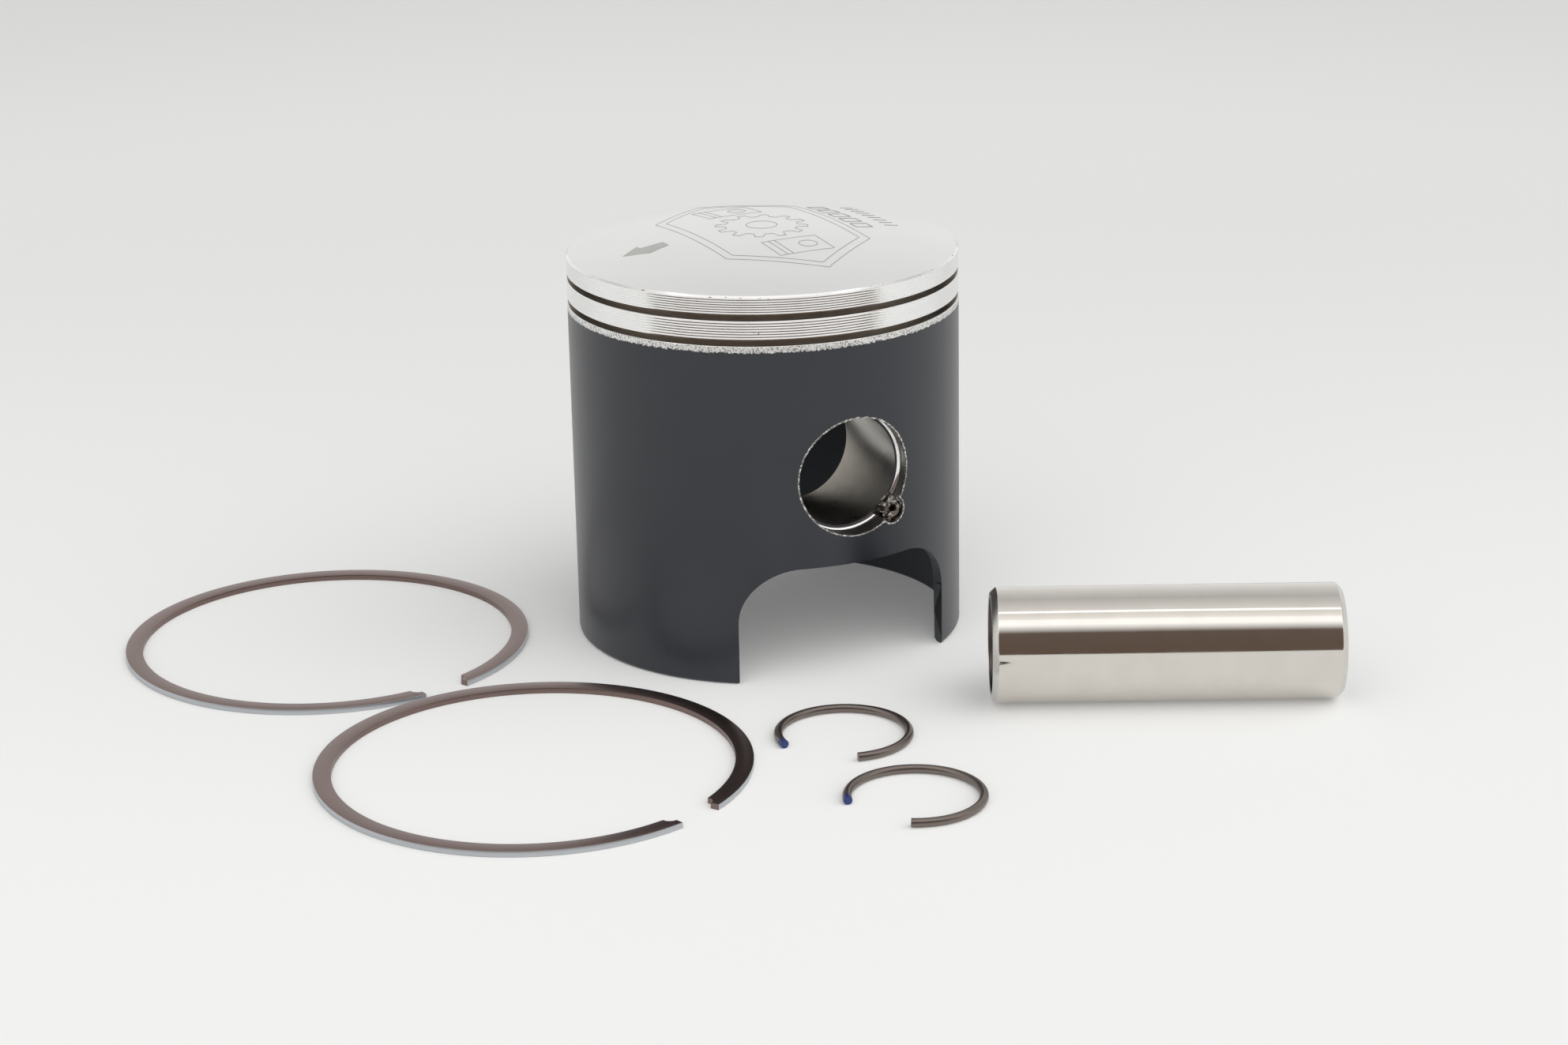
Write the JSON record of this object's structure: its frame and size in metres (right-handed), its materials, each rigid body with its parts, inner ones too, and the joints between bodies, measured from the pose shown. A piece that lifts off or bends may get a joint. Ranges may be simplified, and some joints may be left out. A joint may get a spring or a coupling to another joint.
{
  "type": "two-stroke piston set",
  "caption": "Two-stroke motorcycle piston laid out with its compression rings, hollow wrist pin and wire circlips, ready to fit.",
  "frame": {"origin": "where the piston axis meets the wrist-pin axis, in the middle between the two bosses", "axes": "+Z along the piston axis towards the crown; Y along the wrist-pin bore; -X is the exhaust side, where the crown's arrow points"},
  "size_m": [0.1468, 0.1316, 0.0593],
  "materials": {
    "coated_aluminium": "bare turned crown and lands, matte grey-blue skirt coating",
    "peg_steel": "plain steel",
    "ring_steel": "brown nitrided sides, silver running face",
    "ground_steel": "ground and polished",
    "spring_wire": "drawn dark spring wire, one end of each dipped in blue paint"
  },
  "bodies": {
    "piston": {"piston_body": "coated_aluminium", "first_ring_peg": "peg_steel", "second_ring_peg": "peg_steel"},
    "loose_first_ring": {"first_ring": "ring_steel"},
    "loose_second_ring": {"second_ring": "ring_steel"},
    "loose_wrist_pin": {"wrist_pin": "ground_steel"},
    "loose_first_circlip": {"first_circlip": "spring_wire"},
    "loose_second_circlip": {"second_circlip": "spring_wire"}
  },
  "joints": [
    {"name": "first_ring_lift", "type": "slide", "parent": "piston", "child": "loose_first_ring", "axis": [0, 0, 1], "range_m": [0, 0.065]},
    {"name": "second_ring_lift", "type": "slide", "parent": "piston", "child": "loose_second_ring", "axis": [0, 0, 1], "range_m": [0, 0.065]},
    {"name": "wrist_pin_lift", "type": "slide", "parent": "piston", "child": "loose_wrist_pin", "axis": [0, 0, 1], "range_m": [0, 0.065]},
    {"name": "first_circlip_lift", "type": "slide", "parent": "piston", "child": "loose_first_circlip", "axis": [0, 0, 1], "range_m": [0, 0.065]},
    {"name": "second_circlip_lift", "type": "slide", "parent": "piston", "child": "loose_second_circlip", "axis": [0, 0, 1], "range_m": [0, 0.065]}
  ]
}
